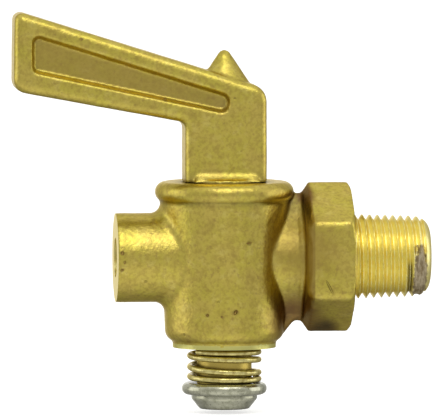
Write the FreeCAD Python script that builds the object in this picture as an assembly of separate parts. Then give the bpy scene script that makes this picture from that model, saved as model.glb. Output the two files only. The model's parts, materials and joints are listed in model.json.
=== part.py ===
import FreeCAD, Part
import math
import os

# Ground-key drain cock with a lever handle, in millimetres.
# The origin is on the pipe-thread axis in the plane of the hexagon's shoulder,
# +X points out along the thread and +Z up along the plug.
# Every piece is drawn about the crossing of the plug axis and the waterway,
# and moved into that frame when it is written.

# Waterway and seat
BORE_D = 4.76                 # straight through spout, plug and pipe end
SEAT_TOP_D = 10.0             # tapered seat, measured at the top of the body
SEAT_TAPER = 1 / 6.5          # change of diameter per unit of height
PLUG_CLEARANCE = 0.03         # radial, between the plug and its seat

# Body: barrel
BODY_RISE = 9.2               # top of the body above the waterway
BODY_DROP = 10.88             # bottom of the body below the waterway
BARREL_TOP_D = 15.6           # just under the bead
BARREL_BOTTOM_D = 14.3
FOOT_ROUND = 1.4              # rounding at the lower end of the barrel
FOOT_D = 12.5                 # turned ring that the spring bears on
FOOT_HEIGHT = 0.7
BEAD_PROUD = 0.6              # how far the bead stands out from the barrel
BEAD_ROUND = 1.25             # full-round edge of the bead
BEAD_COVE = 0.3               # hollow between the bead and the barrel
DISH_DEPTH = 0.05             # flat sunk in the top, inside the bead

# Body: spout
SPOUT_D = 10.8
SPOUT_REACH = 13.2            # plug axis to the mouth
SPOUT_FILLET = 1.2
MOUTH_BREAK = 0.25            # broken edge of the mouth

# Body: neck, hexagon and pipe end
SHOULDER_REACH = 15.27        # plug axis to the shoulder of the hexagon
HEX_FLATS = 15.875
HEX_THICKNESS = 5.1
HEX_CORNER_ROUND = 0.75
HEX_BEVEL = 0.95              # slope on the neck side, off each flat
HEX_BEVEL_RUN = 0.72          # and along the waterway
HEX_CORNER_CUT = 0.45         # how far the shoulder side is turned back at the corners
HEX_CUT_ANGLE = 30.0
NECK_D = 10.5                 # round front and back of the neck
NECK_RIDGE = 8.0              # half height, to the corner that its rounded ridge takes off
NECK_RIDGE_ROUND = 0.5
NECK_FILLET = 0.5
NECK_LIP = 0.2                # raised edge beside the hexagon
NECK_LIP_RUN = 0.6
NECK_LIP_ROUND = 0.15
TOE_THICKNESS = 1.8           # toe from the neck down to the barrel's lower edge
TOE_EDGE = 0.85
TOE_HOLLOW = 1.5              # rounding where it leaves the neck
TOE_LOW = 7.55                # underside of the neck's ridge
TOE_GAP = 0.9                 # toe to the hexagon's slope
TOE_IN = 0.55                 # end of the toe inside the barrel's lower edge
TOE_UP = 0.18
THREAD_D = 10.287             # crest of the tapered thread at the shoulder
THREAD_TAPER = 1 / 16
THREAD_LENGTH = 9.65
THREAD_END_CUT = 1.2          # 45 degree lead at the free end

# Plug and stem
COLLAR_RISE = 0.75            # plug stands this far out of the body
COLLAR_ROUND = 0.55
PLUG_SHORT = 0.6              # plug ends this far above the bottom of the body
STEM_STEP = 0.13              # stem is this much smaller than the seat, on the radius
STEM_BELOW = 4.28             # stem below the body, taken up by the spring

# Handle
POST_WIDTH = 9.9
HANDLE_THICKNESS = 7.0
POST_GAP = 0.06               # post to the top of the body
LEVER_REACH = 25.65           # plug axis to the free end
LEVER_RISE = 12.83            # top edge above the body, on the plug axis
LEVER_TOP_SLOPE = 17.4        # degrees
LEVER_UNDER_SLOPE = 10.5
LEVER_END_HEIGHT = 9.8
LEVER_END_LEAN = 0.6          # degrees, foot of the free end leans outwards
LEVER_TIP_ROUND = 0.95
LEVER_HEEL_ROUND = 1.6
SHOULDER_ROUND = 2.2          # top corner above the post
ARMPIT_ROUND = 0.9            # between the lever and the post
HANDLE_EDGE = 1.1             # rounding along the edges of both faces
POST_COVE = 0.8               # hollow between post and collar, front and back
PIP_HALF_ANGLE = 34.0
PIP_TIP_ROUND = 0.8
PIP_RISE = 15.9               # tip above the body
PIP_ROOT = 1.6                # its cone starts this far below the lever's top edge

# Panel sunk in both faces of the lever
PANEL_DEPTH = 0.9
PANEL_DRAFT = 0.35            # the floor is this much smaller all round
PANEL_TOP_RIM = 2.05
PANEL_UNDER_RIM = 2.8         # at the free end of the lever
PANEL_UNDER_SLOPE = 12.2      # degrees
PANEL_END_RIM = 2.2
PANEL_PAST_AXIS = 0.4         # how far the panel runs past the plug axis
PANEL_CORNER = 0.85
NOSE_FLAT = 0.03              # share of the narrow end that is left straight
PANEL_LIP = 0.2               # broken edge of the panel's rim

# Spring, washer and screw
WIRE_D = 0.78
SPRING_SLACK = 0.43           # wire to stem, on the radius
SPRING_TURNS = 3.25
CLOSED_TURNS = 1.0            # touching turns at each end
CLOSED_GAP = 0.03             # between touching turns
SPRING_GAP = 0.04             # spring to the body and to the washer
WASHER_MARGIN = 0.62          # washer beyond the spring
WASHER_THICKNESS = 1.44
WASHER_ROUND = 0.68
SCREW_D = 4.17
SCREW_CLEARANCE = 0.04        # radial, in the stem and in the washer
SCREW_DEPTH = 6.5             # shank inside the stem
SCREW_POINT = 0.4
SCREW_HEAD_D = 8.0
SCREW_HEAD_FACE_D = 6.0       # flat end of the head
SCREW_HEAD_ROUND = 0.3        # where its slope meets that end
SCREW_HEAD_HEIGHT = 1.75
SCREW_HEAD_SIDE = 0.5         # straight side above the rounding
SCREW_SLOT_WIDTH = 1.0
SCREW_SLOT_DEPTH = 0.8
DRILL_POINT = 118.0           # degrees

# Heights and radii that several pieces share
X_AXIS = FreeCAD.Vector(1, 0, 0)
Y_AXIS = FreeCAD.Vector(0, 1, 0)
Z_AXIS = FreeCAD.Vector(0, 0, 1)
CENTRE = FreeCAD.Vector(0, 0, 0)
TOUCH = 1e-6
CUT_PAST = 1.0                # cutters run this far past what they cut
HEX_SIDES = 6

bore_r = BORE_D / 2
body_top = BODY_RISE
body_bottom = -BODY_DROP
barrel_bottom = body_bottom + FOOT_HEIGHT
bead_r = BARREL_TOP_D / 2 + BEAD_PROUD
bead_z = body_top - BEAD_ROUND
hex_back = SHOULDER_REACH - HEX_THICKNESS
bevel_start = hex_back - HEX_BEVEL_RUN
hex_middle = SHOULDER_REACH - HEX_THICKNESS / 2
hex_corner_r = HEX_FLATS / 2 / math.cos(math.pi / HEX_SIDES)
pipe_end = SHOULDER_REACH + THREAD_LENGTH
collar_top = body_top + COLLAR_RISE
plug_bottom = body_bottom + PLUG_SHORT
stem_bottom = body_bottom - STEM_BELOW
washer_bottom = stem_bottom - WASHER_THICKNESS
head_bottom = washer_bottom - SCREW_HEAD_HEIGHT


def seat_radius(z):
    """Radius of the tapered seat at a height."""
    return SEAT_TOP_D / 2 - (body_top - z) * SEAT_TAPER / 2


stem_r = seat_radius(body_bottom) - STEM_STEP
coil_r = stem_r + SPRING_SLACK + WIRE_D / 2
washer_r = coil_r + WIRE_D / 2 + WASHER_MARGIN
shank_r = SCREW_D / 2


def tangent(degrees):
    return math.tan(math.radians(degrees))


def at(corner):
    """A corner's place in the XZ plane."""
    return FreeCAD.Vector(corner[0], 0, corner[1])


def rounded(before, corner, after, radius):
    """Start, middle and end of the arc that rounds one corner."""
    back = (before - corner).normalize()
    ahead = (after - corner).normalize()
    half = back.getAngle(ahead) / 2
    inward = (back + ahead).normalize()
    centre = corner + inward * (radius / math.sin(half))
    reach = radius / math.tan(half)
    return [corner + back * reach, centre - inward * radius, corner + ahead * reach]


def outline(corners):
    """Closed wire through (x, z) corners; a third value is that corner's rounding."""
    count = len(corners)
    stations = []
    for i, corner in enumerate(corners):
        if len(corner) == 2:
            stations.append([at(corner)])
            continue
        before = at(corners[i - 1])
        after = at(corners[(i + 1) % count])
        stations.append(rounded(before, at(corner), after, corner[2]))
    edges = []
    for i, station in enumerate(stations):
        if len(station) == 3:
            edges.append(Part.Arc(*station).toShape())
        start = station[-1]
        end = stations[(i + 1) % count][0]
        if start.distanceToPoint(end) > TOUCH:
            edges.append(Part.LineSegment(start, end).toShape())
    return Part.Wire(edges)


def turned(corners, axis):
    """Solid of revolution of an outline that lies on one side of its axis."""
    return Part.Face(outline(corners)).revolve(CENTRE, axis, 360)


def slab(wire, thickness):
    """Wire of the XZ plane made a plate, centred on that plane."""
    plate = Part.Face(wire).extrude(Y_AXIS * thickness)
    plate.translate(Y_AXIS * (-thickness / 2))
    return plate


def rod(radius, start, end):
    """Cylinder along X between two places."""
    return Part.makeCylinder(radius, end - start, X_AXIS * start, X_AXIS)


def edges_on(shape, *tests):
    """Edges of which three sampled points pass every test."""
    chosen = []
    for edge in shape.Edges:
        low, high = edge.ParameterRange
        points = [edge.valueAt(low + (high - low) * share) for share in (0.2, 0.5, 0.8)]
        if all(test(point) for test in tests for point in points):
            chosen.append(edge)
    return chosen


def near(value, target):
    return abs(value - target) < 1e-3


# Body

def barrel_radius(z):
    """Outer radius of the drafted barrel at a height."""
    cove_foot = bead_z - math.sqrt((BEAD_ROUND + BEAD_COVE) ** 2 - cove_offset() ** 2)
    slope = (BARREL_TOP_D - BARREL_BOTTOM_D) / 2 / (cove_foot - barrel_bottom)
    return BARREL_BOTTOM_D / 2 + (z - barrel_bottom) * slope


def cove_offset():
    """Radial distance between the centres of the bead's round and its cove."""
    return BARREL_TOP_D / 2 + BEAD_COVE - (bead_r - BEAD_ROUND)


def on_barrel(point):
    return near(math.hypot(point.x, point.y), barrel_radius(point.z))


def on_spout(point):
    return near(math.hypot(point.y, point.z), SPOUT_D / 2)


def touching(shape):
    """Test whether a point lies on a shape or inside it."""
    return lambda point: near(shape.distToShape(Part.Vertex(point))[0], 0)


def neck_bar(radius, start):
    """Eye-shaped bar along X into the hexagon: round front and back, a ridge above and below."""
    side = radius * NECK_RIDGE / math.sqrt(NECK_RIDGE ** 2 - radius ** 2)
    section = outline([
        (0, NECK_RIDGE, NECK_RIDGE_ROUND),
        (side, 0, radius),
        (0, -NECK_RIDGE, NECK_RIDGE_ROUND),
        (-side, 0, radius)])
    section.rotate(CENTRE, Z_AXIS, 90)
    section.translate(X_AXIS * start)
    return Part.Face(section).extrude(X_AXIS * (hex_middle - start))


def barrel_with_branches():
    """Barrel, spout and neck blended together, cut off level with the bead."""
    tall = 2 * body_top
    barrel = turned([
        (0, barrel_bottom),
        (barrel_radius(barrel_bottom), barrel_bottom, FOOT_ROUND),
        (barrel_radius(tall), tall),
        (0, tall)], Z_AXIS)
    spout = rod(SPOUT_D / 2, -SPOUT_REACH, 0)
    mouth = edges_on(spout, lambda point: near(point.x, -SPOUT_REACH))
    spout = spout.makeFillet(MOUTH_BREAK, mouth)
    neck = neck_bar(NECK_D / 2, 0)
    blended = barrel.fuse(spout)
    blended = blended.makeFillet(SPOUT_FILLET, edges_on(blended, on_barrel, on_spout))
    blended = blended.fuse(neck)
    blended = blended.makeFillet(NECK_FILLET, edges_on(blended, on_barrel, touching(neck)))
    size = 4 * SHOULDER_REACH
    above = Part.makeBox(size, size, tall, FreeCAD.Vector(-size / 2, -size / 2, bead_z))
    return blended.cut(above)


def neck_lip():
    """Raised edge of the neck where the hexagon's slope starts."""
    start = bevel_start - NECK_LIP_RUN
    lip = neck_bar(NECK_D / 2 + NECK_LIP, start)
    return lip.makeFillet(NECK_LIP_ROUND, edges_on(lip, lambda point: near(point.x, start)))


def toe():
    """Upright toe under the neck, down to the barrel's lower edge."""
    leaves_x = bevel_start - TOE_GAP
    foot_x = BARREL_BOTTOM_D / 2 - TOE_IN
    foot_z = barrel_bottom + TOE_UP
    plate = slab(outline([
        (0, 0),
        (hex_middle, 0),
        (hex_middle, -TOE_LOW),
        (leaves_x, -TOE_LOW, TOE_HOLLOW),
        (foot_x, foot_z),
        (0, foot_z)]), TOE_THICKNESS)

    def on_underside(point):
        inside = near(point.x, 0) or near(point.x, hex_middle) or near(point.z, foot_z)
        return near(abs(point.y), TOE_THICKNESS / 2) and point.z < -TOUCH and not inside
    return plate.makeFillet(TOE_EDGE, edges_on(plate, on_underside))


def bead():
    """Rolled bead round the top, with a small cove under it."""
    round_centre = FreeCAD.Vector(bead_r - BEAD_ROUND, 0, bead_z)
    drop = math.sqrt((BEAD_ROUND + BEAD_COVE) ** 2 - cove_offset() ** 2)
    cove_centre = round_centre + FreeCAD.Vector(cove_offset(), 0, -drop)
    toward = (cove_centre - round_centre).normalize()
    meet = round_centre + toward * BEAD_ROUND
    cove_foot = cove_centre - X_AXIS * BEAD_COVE
    cove_middle = cove_centre - (toward + X_AXIS).normalize() * BEAD_COVE
    crown = round_centre + Z_AXIS * BEAD_ROUND
    outer = round_centre + X_AXIS * BEAD_ROUND
    inner_foot = FreeCAD.Vector(seat_radius(body_top) / 2, 0, cove_foot.z)
    inner_top = FreeCAD.Vector(inner_foot.x, 0, body_top)
    profile = Part.Wire([
        Part.Arc(crown, outer, meet).toShape(),
        Part.Arc(meet, cove_middle, cove_foot).toShape(),
        Part.LineSegment(cove_foot, inner_foot).toShape(),
        Part.LineSegment(inner_foot, inner_top).toShape(),
        Part.LineSegment(inner_top, crown).toShape()])
    ring = Part.Face(profile).revolve(CENTRE, Z_AXIS, 360)
    dish = Part.makeCylinder(crown.x, DISH_DEPTH, Z_AXIS * (body_top - DISH_DEPTH))
    return ring.cut(dish)


def hexagon_wire(flats, x):
    """Rounded hexagon square to X, with a corner straight up."""
    radius = flats / 2 / math.cos(math.pi / HEX_SIDES)
    corners = []
    for i in range(HEX_SIDES):
        turn = math.radians(360 / HEX_SIDES * i + 90)
        corners.append((radius * math.cos(turn), radius * math.sin(turn), HEX_CORNER_ROUND))
    wire = outline(corners)
    wire.rotate(CENTRE, Z_AXIS, 90)
    wire.translate(X_AXIS * x)
    return wire


def hexagon():
    """Spanner hexagon, sloped towards the neck and turned back at its shoulder."""
    prism = Part.Face(hexagon_wire(HEX_FLATS, hex_back)).extrude(X_AXIS * HEX_THICKNESS)
    slope = Part.makeLoft([
        hexagon_wire(HEX_FLATS - 2 * HEX_BEVEL, bevel_start),
        hexagon_wire(HEX_FLATS, hex_back)], True, True)
    cut_run = HEX_CORNER_CUT / tangent(HEX_CUT_ANGLE)
    envelope = turned([
        (bevel_start, 0),
        (bevel_start, hex_corner_r),
        (SHOULDER_REACH - HEX_CORNER_CUT, hex_corner_r),
        (SHOULDER_REACH, hex_corner_r - cut_run),
        (SHOULDER_REACH, 0)], X_AXIS)
    return prism.fuse(slope).common(envelope)


def pipe_blank():
    """Tapered pipe end at the size of the thread's crests."""
    crest_r = THREAD_D / 2
    lead_x = pipe_end - THREAD_END_CUT
    lead_r = crest_r - (lead_x - SHOULDER_REACH) * THREAD_TAPER / 2
    return turned([
        (hex_back, 0),
        (hex_back, crest_r),
        (SHOULDER_REACH, crest_r),
        (lead_x, lead_r),
        (pipe_end, lead_r - THREAD_END_CUT),
        (pipe_end, 0)], X_AXIS)


def seat_cut():
    """Tapered hole for the plug, right through the barrel."""
    low = body_bottom - CUT_PAST
    high = body_top + CUT_PAST
    return Part.makeCone(seat_radius(low), seat_radius(high), high - low, Z_AXIS * low)


def make_body():
    foot = Part.makeCylinder(FOOT_D / 2, BODY_DROP, Z_AXIS * body_bottom)
    solid = barrel_with_branches()
    for piece in (neck_lip(), toe(), bead(), foot, hexagon(), pipe_blank()):
        solid = solid.fuse(piece)
    solid = solid.removeSplitter()
    solid = solid.cut(seat_cut())
    return solid.cut(rod(bore_r, -SPOUT_REACH - CUT_PAST, pipe_end + CUT_PAST))


# Plug with its lever

def handle_corners():
    """Corners of the post and lever, seen from the front."""
    top = body_top + LEVER_RISE
    half = POST_WIDTH / 2
    top_left = top + LEVER_REACH * tangent(LEVER_TOP_SLOPE)
    lean = LEVER_END_HEIGHT * tangent(LEVER_END_LEAN)
    under_left = top_left - LEVER_END_HEIGHT
    under_post = under_left - (LEVER_REACH - half) * tangent(LEVER_UNDER_SLOPE)
    return {
        "tip": (-LEVER_REACH + lean, top_left - lean * tangent(LEVER_TOP_SLOPE)),
        "heel": (-LEVER_REACH, under_left),
        "armpit": (-half, under_post),
        "foot_left": (-half, body_top + POST_GAP),
        "foot_right": (half, body_top + POST_GAP),
        "shoulder": (half, top - half * tangent(LEVER_TOP_SLOPE))}


def handle_blank():
    """Post and lever as one plate with rounded edges."""
    corner = handle_corners()
    wire = outline([
        corner["tip"] + (LEVER_TIP_ROUND,),
        corner["heel"] + (LEVER_HEEL_ROUND,),
        corner["armpit"] + (ARMPIT_ROUND,),
        corner["foot_left"],
        corner["foot_right"],
        corner["shoulder"] + (SHOULDER_ROUND,)])
    plate = slab(wire, HANDLE_THICKNESS)
    foot_z = corner["foot_left"][1]
    face_y = HANDLE_THICKNESS / 2
    on_face = edges_on(
        plate,
        lambda point: near(abs(point.y), face_y),
        lambda point: point.z > foot_z + TOUCH)
    return plate.makeFillet(HANDLE_EDGE, on_face)


def line_at(start, slope, x):
    """Height of a line that falls to the right from a start."""
    return start[1] - (x - start[0]) * tangent(slope)


def panel_wire(inset, y):
    """Outline of the sunk panel, moved in from its rim by an inset."""
    corner = handle_corners()
    top_drop = (PANEL_TOP_RIM + inset) / math.cos(math.radians(LEVER_TOP_SLOPE))
    under_lift = PANEL_UNDER_RIM + inset / math.cos(math.radians(PANEL_UNDER_SLOPE))
    left = -LEVER_REACH + PANEL_END_RIM + inset
    right = PANEL_PAST_AXIS - inset
    top_left = line_at(corner["tip"], LEVER_TOP_SLOPE, left) - top_drop
    top_right = line_at(corner["tip"], LEVER_TOP_SLOPE, right) - top_drop
    under_left = line_at(corner["heel"], PANEL_UNDER_SLOPE, left) + under_lift
    under_right = line_at(corner["heel"], PANEL_UNDER_SLOPE, right) + under_lift
    reach_of_top = 1 / tangent((90 - LEVER_TOP_SLOPE) / 2)
    reach_of_under = 1 / tangent((90 + PANEL_UNDER_SLOPE) / 2)
    nose = (top_right - under_right) * (1 - NOSE_FLAT) / (reach_of_top + reach_of_under)
    wire = outline([
        (left, top_left, PANEL_CORNER - inset),
        (left, under_left, PANEL_CORNER - inset),
        (right, under_right, nose),
        (right, top_right, nose)])
    wire.translate(Y_AXIS * y)
    return wire


def panel_cut(side):
    """Drafted pocket in one face of the lever; side is -1 for the front, +1 for the back."""
    face_y = side * HANDLE_THICKNESS / 2
    lip_y = face_y - side * PANEL_LIP
    floor_y = face_y - side * PANEL_DEPTH
    return Part.makeLoft([
        panel_wire(-PANEL_LIP, face_y),
        panel_wire(0, lip_y),
        panel_wire(PANEL_DRAFT, floor_y)], True, True)


def pip():
    """Round-nosed cone on the plug axis, left from turning between centres."""
    tip = body_top + PIP_RISE
    slope = math.radians(PIP_HALF_ANGLE)
    ball_z = tip - PIP_TIP_ROUND
    meet = FreeCAD.Vector(PIP_TIP_ROUND * math.cos(slope), 0, ball_z + PIP_TIP_ROUND * math.sin(slope))
    half = FreeCAD.Vector(PIP_TIP_ROUND * math.sin((math.pi / 2 - slope) / 2), 0, 0)
    half.z = ball_z + PIP_TIP_ROUND * math.cos((math.pi / 2 - slope) / 2)
    base_z = body_top + LEVER_RISE - PIP_ROOT
    base = FreeCAD.Vector(meet.x + (meet.z - base_z) * math.tan(slope), 0, base_z)
    profile = Part.Wire([
        Part.Arc(Z_AXIS * tip, half, meet).toShape(),
        Part.LineSegment(meet, base).toShape(),
        Part.LineSegment(base, Z_AXIS * base_z).toShape(),
        Part.LineSegment(Z_AXIS * base_z, Z_AXIS * tip).toShape()])
    return Part.Face(profile).revolve(CENTRE, Z_AXIS, 360)


def post_coves():
    """Hollow fillets that lead both faces of the post out to the round collar."""
    face_y = HANDLE_THICKNESS / 2
    low = collar_top - COLLAR_ROUND
    hollow = Part.makeCylinder(
        POST_COVE, POST_WIDTH,
        FreeCAD.Vector(-POST_WIDTH / 2, face_y + POST_COVE, collar_top + POST_COVE), X_AXIS)
    block = Part.makeBox(
        POST_WIDTH, face_y + POST_COVE, POST_COVE + COLLAR_ROUND,
        FreeCAD.Vector(-POST_WIDTH / 2, 0, low))
    front = block.cut(hollow)
    back = front.mirror(CENTRE, Y_AXIS)
    round_r = plug_radius(collar_top) - COLLAR_ROUND
    round_limit = Part.makeCylinder(round_r, POST_COVE + COLLAR_ROUND, Z_AXIS * low)
    return front.fuse(back).common(round_limit)


def plug_radius(z):
    return seat_radius(z) - PLUG_CLEARANCE


def tapered_plug():
    """Plug, collar and stem, with the cross port and the screw hole."""
    plug = turned([
        (0, stem_bottom),
        (stem_r, stem_bottom),
        (stem_r, plug_bottom),
        (plug_radius(plug_bottom), plug_bottom),
        (plug_radius(collar_top), collar_top, COLLAR_ROUND),
        (0, collar_top)], Z_AXIS)
    hole_r = shank_r + SCREW_CLEARANCE
    hole_top = stem_bottom + SCREW_DEPTH + SCREW_POINT
    point = hole_r / tangent(DRILL_POINT / 2)
    hole = turned([
        (0, stem_bottom - CUT_PAST),
        (hole_r, stem_bottom - CUT_PAST),
        (hole_r, hole_top),
        (0, hole_top + point)], Z_AXIS)
    return plug.cut(hole)


def make_plug_lever():
    handle = handle_blank()
    for side in (-1, 1):
        handle = handle.cut(panel_cut(side))
    for piece in (pip(), tapered_plug(), post_coves()):
        handle = handle.fuse(piece)
    return handle.removeSplitter().cut(rod(bore_r, -SEAT_TOP_D, SEAT_TOP_D))


# Spring, washer and screw

def coil_height(turn):
    """Height of the wire's centre after a number of turns from the top."""
    top = body_bottom - SPRING_GAP - WIRE_D / 2
    drop = top - (stem_bottom + SPRING_GAP + WIRE_D / 2)
    closed_pitch = WIRE_D + CLOSED_GAP
    share = (turn - CLOSED_TURNS) / (SPRING_TURNS - 2 * CLOSED_TURNS)
    share = min(max(share, 0), 1)
    opened = share * share * (3 - 2 * share)
    return top - closed_pitch * turn - (drop - closed_pitch * SPRING_TURNS) * opened


def make_spring():
    """Left-hand wire with closed ends and one open turn."""
    steps_per_turn = 16
    count = round(SPRING_TURNS * steps_per_turn)
    points = []
    for i in range(count + 1):
        turn = SPRING_TURNS * i / count
        angle = 2 * math.pi * turn - math.pi / 2
        place = FreeCAD.Vector(coil_r * math.cos(angle), coil_r * math.sin(angle), coil_height(turn))
        points.append(place)
    curve = Part.BSplineCurve()
    curve.interpolate(points)
    path = Part.Wire([curve.toShape()])
    start = curve.tangent(curve.FirstParameter)[0]
    section = Part.Wire([Part.makeCircle(WIRE_D / 2, points[0], start)])
    return path.makePipeShell([section], True, True)


def make_washer():
    hole_r = shank_r + SCREW_CLEARANCE
    return turned([
        (hole_r, washer_bottom),
        (washer_r, washer_bottom, WASHER_ROUND),
        (washer_r, stem_bottom, WASHER_ROUND),
        (hole_r, stem_bottom)], Z_AXIS)


def make_retaining_screw():
    """Slotted pan-head screw, head down."""
    shank_top = stem_bottom + SCREW_DEPTH
    head_r = SCREW_HEAD_D / 2
    screw = turned([
        (0, head_bottom),
        (SCREW_HEAD_FACE_D / 2, head_bottom, SCREW_HEAD_ROUND),
        (head_r, washer_bottom - SCREW_HEAD_SIDE, SCREW_HEAD_SIDE),
        (head_r, washer_bottom),
        (shank_r, washer_bottom),
        (shank_r, shank_top - SCREW_POINT),
        (shank_r - SCREW_POINT, shank_top),
        (0, shank_top)], Z_AXIS)
    slot = Part.makeBox(SCREW_HEAD_D, SCREW_SLOT_WIDTH, SCREW_SLOT_DEPTH)
    slot.translate(FreeCAD.Vector(-head_r, -SCREW_SLOT_WIDTH / 2, head_bottom))
    return screw.cut(slot)


PIECES = {
    "body": make_body,
    "plug_lever": make_plug_lever,
    "spring": make_spring,
    "washer": make_washer,
    "retaining_screw": make_retaining_screw}


def main():
    os.makedirs("parts", exist_ok=True)
    for name, make in PIECES.items():
        solid = make()
        solid.translate(X_AXIS * -SHOULDER_REACH)
        solid.exportStep("parts/" + name + ".step")
        print(name, solid.ShapeType, "valid" if solid.isValid() else "NOT VALID",
              len(solid.Solids), "solid", round(solid.Volume, 2), "mm3")


main()
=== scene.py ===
import json
import math
import bpy
from mathutils import Matrix, Vector


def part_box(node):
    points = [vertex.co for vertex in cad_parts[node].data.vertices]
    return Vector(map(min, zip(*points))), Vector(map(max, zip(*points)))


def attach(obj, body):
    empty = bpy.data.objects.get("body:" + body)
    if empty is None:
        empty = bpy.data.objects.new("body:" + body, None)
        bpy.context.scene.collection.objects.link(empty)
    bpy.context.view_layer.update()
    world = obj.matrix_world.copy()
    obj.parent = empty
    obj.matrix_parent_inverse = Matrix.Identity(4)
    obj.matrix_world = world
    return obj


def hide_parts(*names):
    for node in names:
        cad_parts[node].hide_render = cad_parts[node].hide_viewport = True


# Dressed drain cock: the castings are roughened copies of their nodes, with the
# turned surfaces cut into them afterwards, as the real ones are made.

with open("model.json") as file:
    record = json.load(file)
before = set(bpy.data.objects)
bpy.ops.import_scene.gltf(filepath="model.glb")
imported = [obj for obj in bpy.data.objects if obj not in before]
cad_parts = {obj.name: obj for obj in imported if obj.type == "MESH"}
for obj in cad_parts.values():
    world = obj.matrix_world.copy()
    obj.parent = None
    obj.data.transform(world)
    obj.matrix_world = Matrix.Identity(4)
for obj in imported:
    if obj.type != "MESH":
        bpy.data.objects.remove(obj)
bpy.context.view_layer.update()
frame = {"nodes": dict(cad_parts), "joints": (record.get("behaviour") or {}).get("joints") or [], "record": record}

MM = 0.001

# Places taken from the frame, in metres
mounts = {mount["name"]: mount for mount in frame["record"]["mounts"]}
body_low, body_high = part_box("body")
floor_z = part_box("retaining_screw")[0].z
plug_x = frame["joints"][0]["pos_m"][0]
mouth_x = body_low.x
pipe_end_x = body_high.x
body_top_z = body_high.z
body_bottom_z = body_low.z
bore_r = mounts["waterway"]["dims"]["r_mm"] * MM
crest_r = mounts["pipe_thread"]["dims"]["r_mm"] * MM

# Turned surfaces of the body
SEAT_TOP_R = 5.0 * MM
SEAT_SLOPE = 1 / 13                # radius lost per unit of depth
FOOT_R = 6.25 * MM
FOOT_HEIGHT = 0.7 * MM
FOOT_SUNK = 0.8 * MM               # how far the ring is let into the casting
barrel_foot_z = body_bottom_z + FOOT_HEIGHT
FACING = 0.15 * MM                 # casting left on the mouth for facing
MOUTH_EDGE = 0.3 * MM              # width of its broken edge, with some to spare
FACING_CUTTER = 1.0
CUT_PAST = 1.0 * MM

# Pipe thread
PITCH = 25.4 / 27 * MM
TAPER = 1 / 32                     # on the radius
THREAD_DEPTH = 0.62 * MM
CREST_FLAT = 0.06                  # share of the pitch
ROOT_FLAT = 0.10
THREAD_PHASE = 0.687               # where the first crest starts round the pipe
RUNOUT = 0.6 * MM                  # roots fade out this close to the shoulder
END_ROUND = 1.9 * MM               # rounding of the pipe end
THREAD_SUNK = 1.2 * MM
THREAD_SIDES = 120
THREAD_STATIONS = 230

# Smear across the last threads, on the front of the pipe end
SMEAR_X = 8.15 * MM
SMEAR_HALF_LENGTH = 0.95 * MM
SMEAR_TURN = -37.0                 # degrees up from the front
SMEAR_HALF_TURN = 66.0
SMEAR_SUNK = 0.2 * MM              # below the crests
SMEAR_FULL = 0.55                  # share of its reach that is smeared over fully

# Hexagon
HEXAGON_FLAT_R = 7.94 * MM
HEXAGON_EDGE_FROM = 0.2 * MM       # its edges lie this far outside its flats
HEXAGON_MIDDLE = 2.0 * MM          # the edges at its top and bottom stay sharp
HEXAGON_EASE = 45                  # smoothing passes along the others

# Turned plug under the handle
PLUG_CLEARANCE = 0.03 * MM
PLUG_BOTTOM = 0.6 * MM             # above the bottom of the body
PLUG_SIDES = 96
STEM_STEP = 0.13 * MM              # stem is this much smaller than the seat
STEM_END = 4.28 * MM               # below the body
CAST_FROM = 0.4 * MM               # casting reaches this far below the body's top
PLUG_LAP = 0.2 * MM
SCREW_HOLE_R = 2.125 * MM
SCREW_HOLE_DEPTH = 6.9 * MM

# Handle
POST_HALF_WIDTH = 3.5 * MM
POST_GAP = 0.06 * MM               # post to the top of the body
POST_DOWN = 0.07 * MM              # post's underside let down to the body
LEDGE_LENGTH = 8.2 * MM            # ledge round the foot of the post, sloped on all sides
LEDGE_WIDTH = 8.6 * MM
LEDGE_RISE = 1.05 * MM
LEDGE_TOP = 0.818                  # share of its length and width left at the top
LEDGE_EASE = 9                     # smoothing passes on it
LEDGE_PAST = 0.3 * MM              # how far they reach past its ends,
LEDGE_INTO_POST = 0.2 * MM         # into the post
LEDGE_OVER = 0.4 * MM              # and over its top
COVE_FROM = 0.3 * MM               # cove of the collar, cut away first
COVE_TO = 1.8 * MM
PANEL_FLOOR = 2.75 * MM            # floor of the sunk panel lies within this of the lever's middle
PANEL_ABOVE = 3.0 * MM             # and higher than this above the body

# Spring: turn from the front by way of the right, in degrees, and height of the wire's middle
SPRING_WIND = (
    (-55, -11.30), (90, -11.45), (360, -12.18), (450, -12.38),
    (720, -13.75), (810, -13.95), (1080, -14.73), (1190, -14.74))
SPRING_SPREAD = 40                 # degrees over which its bends are evened out
WIRE_R = 0.38 * MM
WIRE_STATIONS = 280
WIRE_SIDES = 20

# Casting flaws on the front, in millimetres and degrees: place across from the plug axis,
# height, length, width, depth and lean
BODY_SCARS = (
    (0.76, -6.22, 0.62, 0.40, 0.22, 60),
    (-2.60, -6.60, 0.40, 0.26, 0.12, 40),
    (-0.89, -6.77, 0.28, 0.20, 0.07, 0),
    (2.39, 2.12, 0.70, 0.20, 0.10, 8),
    (-12.75, 0.88, 0.40, 0.44, 0.12, 0),
    (-12.46, -0.21, 0.30, 0.24, 0.07, 70),
    (-12.78, -1.18, 0.40, 0.26, 0.10, 15))
GOUGES = ((12.10, -3.30, 2.20, 0.30, 0.12, -63),)
LEVER_SCARS = (
    (-17.57, 26.53, 0.34, 0.24, 0.05, 20),
    (-7.43, 19.26, 0.50, 0.24, 0.06, -12))
SCAR_SLACK = 1.01                  # a flaw's skin lies within this many of its radii

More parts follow.
